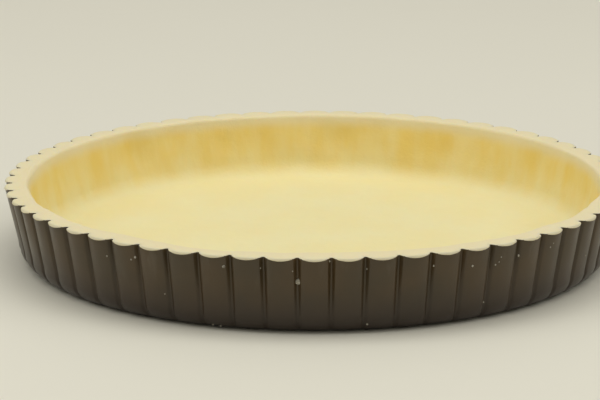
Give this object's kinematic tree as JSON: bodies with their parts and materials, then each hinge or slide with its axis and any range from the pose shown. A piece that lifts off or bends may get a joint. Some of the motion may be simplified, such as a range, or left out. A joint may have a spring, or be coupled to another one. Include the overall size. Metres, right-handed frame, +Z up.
{
  "type": "tart pan",
  "caption": "Fluted loose-base tart pan in dark non-stick steel, lined with raw shortcrust pastry trimmed level with the rim.",
  "frame": {"origin": "centre of the underside, on the surface the pan stands on", "axes": "+Z up along the pan's axis, out of its mouth; one flute crest faces -Y"},
  "size_m": [0.238, 0.238, 0.0295],
  "materials": {
    "nonstick_steel": "matte dark-brown non-stick coating with a low sheen",
    "raw_shortcrust": "matte raw butter dough, paler where it was cut"
  },
  "bodies": {
    "ring": {"fluted_ring": "nonstick_steel"},
    "base": {"loose_base": "nonstick_steel"},
    "pastry": {"pastry_case": "raw_shortcrust"}
  },
  "joints": [
    {"name": "base_lift", "type": "slide", "parent": "ring", "child": "base", "axis": [0, 0, 1], "range_m": [0, 0.06]},
    {"name": "pastry_lift", "type": "slide", "parent": "base", "child": "pastry", "axis": [0, 0, 1], "range_m": [0, 0.06]}
  ]
}
